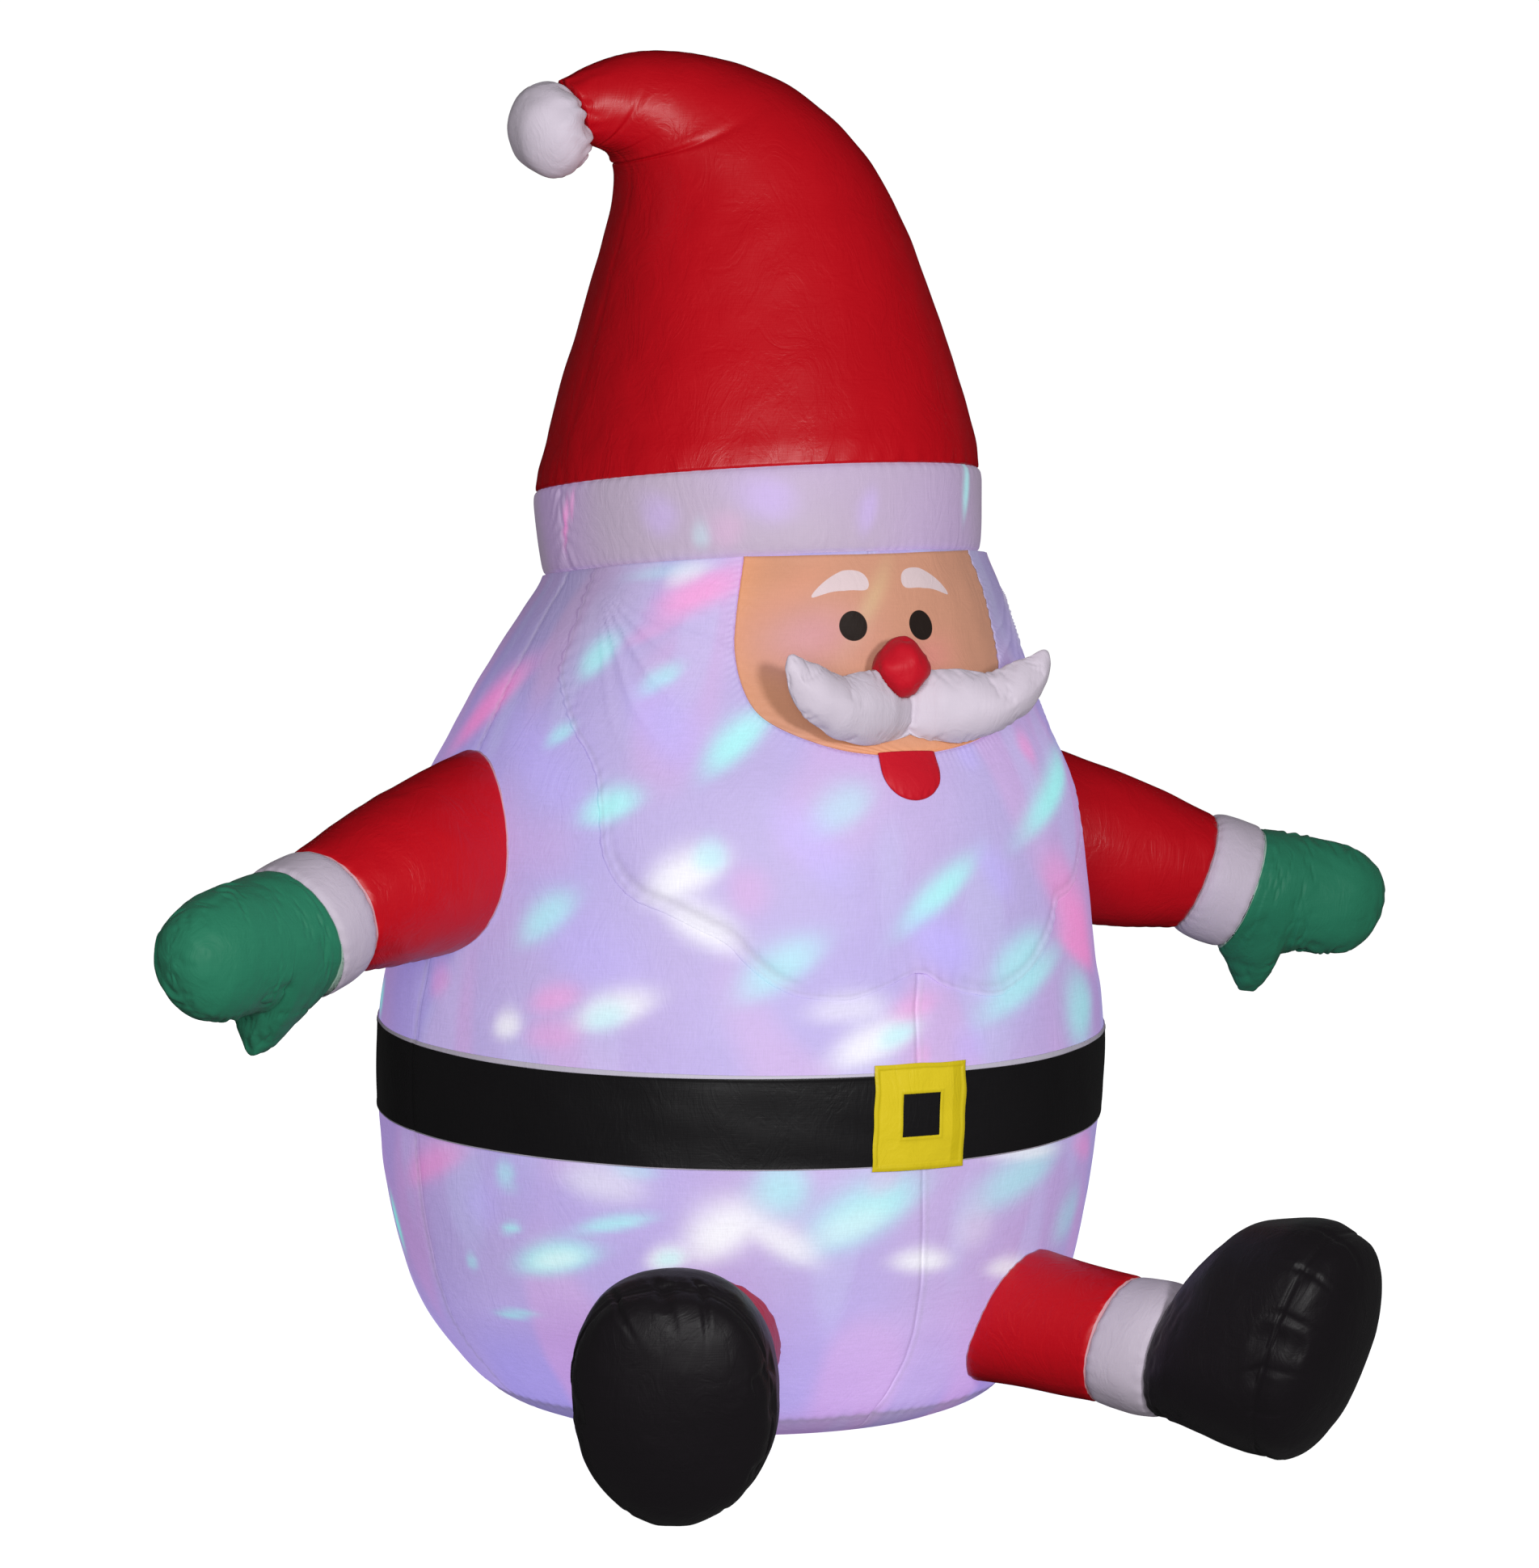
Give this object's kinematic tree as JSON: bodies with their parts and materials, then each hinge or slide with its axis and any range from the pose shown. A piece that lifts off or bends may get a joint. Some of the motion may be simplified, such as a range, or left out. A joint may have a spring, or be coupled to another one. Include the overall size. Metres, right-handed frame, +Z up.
{
  "type": "inflatable santa",
  "caption": "Air-filled lawn santa, seated, with a curled red hat, lilac body lit by spots, belt, mittens and boots.",
  "frame": {"origin": "middle of the flat round base, on the ground", "axes": "+Z up, -Y the way the santa faces, +X towards his left"},
  "size_m": [2.1796, 1.5833, 2.1138],
  "materials": {
    "body_lilac": "satin taffeta, lit from inside by projected spots",
    "belt_black": "satin taffeta",
    "buckle_yellow": "satin taffeta",
    "beard_lilac": "satin taffeta",
    "face_skin": "satin taffeta",
    "lip_red": "satin taffeta",
    "moustache_white": "satin taffeta",
    "nose_red": "satin taffeta",
    "brim_pale": "satin taffeta",
    "hat_red": "satin taffeta",
    "pompom_white": "satin taffeta, puckered",
    "sleeve_red": "satin taffeta",
    "cuff_white": "satin taffeta",
    "mitten_green": "satin taffeta",
    "trouser_red": "satin taffeta",
    "boot_black": "satin taffeta"
  },
  "bodies": {
    "root": {"body": "body_lilac", "belt": "belt_black", "belt_buckle": "buckle_yellow", "beard": "beard_lilac", "face_panel": "face_skin", "lower_lip": "lip_red", "moustache": "moustache_white", "nose": "nose_red", "hat_brim": "brim_pale", "hat": "hat_red", "pompom": "pompom_white", "right_sleeve": "sleeve_red", "right_cuff": "cuff_white", "right_mitten": "mitten_green", "right_leg": "trouser_red", "right_leg_cuff": "cuff_white", "right_boot": "boot_black", "left_sleeve": "sleeve_red", "left_cuff": "cuff_white", "left_mitten": "mitten_green", "left_leg": "trouser_red", "left_leg_cuff": "cuff_white", "left_boot": "boot_black"}
  },
  "joints": []
}
